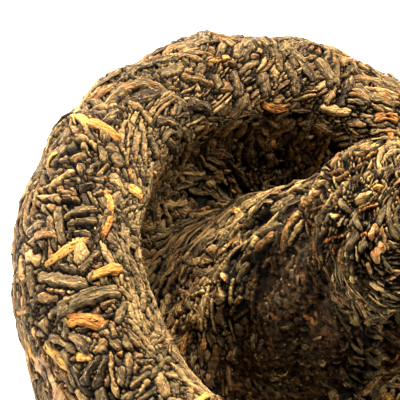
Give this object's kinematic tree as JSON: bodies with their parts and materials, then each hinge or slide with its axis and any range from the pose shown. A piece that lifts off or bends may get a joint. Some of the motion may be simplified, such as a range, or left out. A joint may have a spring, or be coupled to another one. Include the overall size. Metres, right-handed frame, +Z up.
{
  "type": "mushroom tea cake",
  "caption": "Pressed dark tea cake shaped like an upturned mushroom: a domed cap with a thick rolled rim round a hollow, and a twisted, pleated stem standing in it.",
  "frame": {"origin": "centre of the small flat spot that the cap rests on, below the middle of the outline", "axes": "+Z up along the stem, away from the resting spot; +X towards the side to which the stem leans; +Y to the left of +X seen from above"},
  "size_m": [0.0978, 0.0986, 0.0746],
  "materials": {
    "pressed_tea": "matte"
  },
  "bodies": {
    "root": {"pressed_tea": "pressed_tea"}
  },
  "joints": []
}
